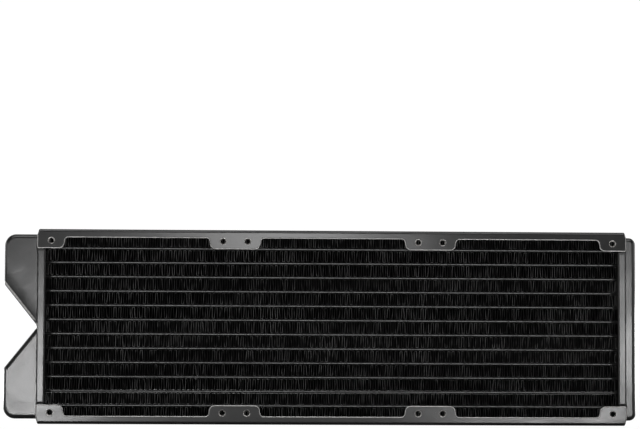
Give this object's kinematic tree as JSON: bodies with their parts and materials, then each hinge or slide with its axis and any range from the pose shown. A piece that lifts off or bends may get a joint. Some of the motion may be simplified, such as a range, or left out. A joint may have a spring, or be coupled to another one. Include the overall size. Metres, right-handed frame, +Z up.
{
  "type": "liquid cooling radiator",
  "caption": "Slim flat-tube liquid cooling radiator for a row of 120 mm fans, with a notched port tank, a plain return tank and tapped fan rails.",
  "frame": {"origin": "centre of the middle fan bay, on the front fan-mounting face", "axes": "+X along the length towards the return tank, +Y from the front face to the back face that carries the ports, +Z up across the width; the part stands on its lower rail"},
  "size_m": [0.388, 0.028, 0.119],
  "materials": {
    "rail_paint": "semi-gloss black paint on formed steel sheet",
    "tank_paint": "semi-gloss black paint on drawn brass sheet",
    "core_paint": "thin matt black paint on brass tubes and copper fins",
    "port_brass": "turned brass, painted black outside and bare in the thread"
  },
  "bodies": {
    "root": {"rail_top": "rail_paint", "rail_bottom": "rail_paint", "header_tray_port_side": "tank_paint", "header_tray_return_side": "tank_paint", "port_tank": "tank_paint", "port_tank_divider": "tank_paint", "return_tank": "tank_paint", "port_boss_upper": "port_brass", "port_boss_lower": "port_brass", "core_side_plate_top": "core_paint", "core_side_plate_bottom": "core_paint", "flat_tube_01": "core_paint", "flat_tube_02": "core_paint", "flat_tube_03": "core_paint", "flat_tube_04": "core_paint", "flat_tube_05": "core_paint", "flat_tube_06": "core_paint", "flat_tube_07": "core_paint", "flat_tube_08": "core_paint", "flat_tube_09": "core_paint", "flat_tube_10": "core_paint", "flat_tube_11": "core_paint", "flat_tube_12": "core_paint", "fin_strip_01": "core_paint", "fin_strip_02": "core_paint", "fin_strip_03": "core_paint", "fin_strip_04": "core_paint", "fin_strip_05": "core_paint", "fin_strip_06": "core_paint", "fin_strip_07": "core_paint", "fin_strip_08": "core_paint", "fin_strip_09": "core_paint", "fin_strip_10": "core_paint", "fin_strip_11": "core_paint", "fin_strip_12": "core_paint", "fin_strip_13": "core_paint"}
  },
  "joints": []
}
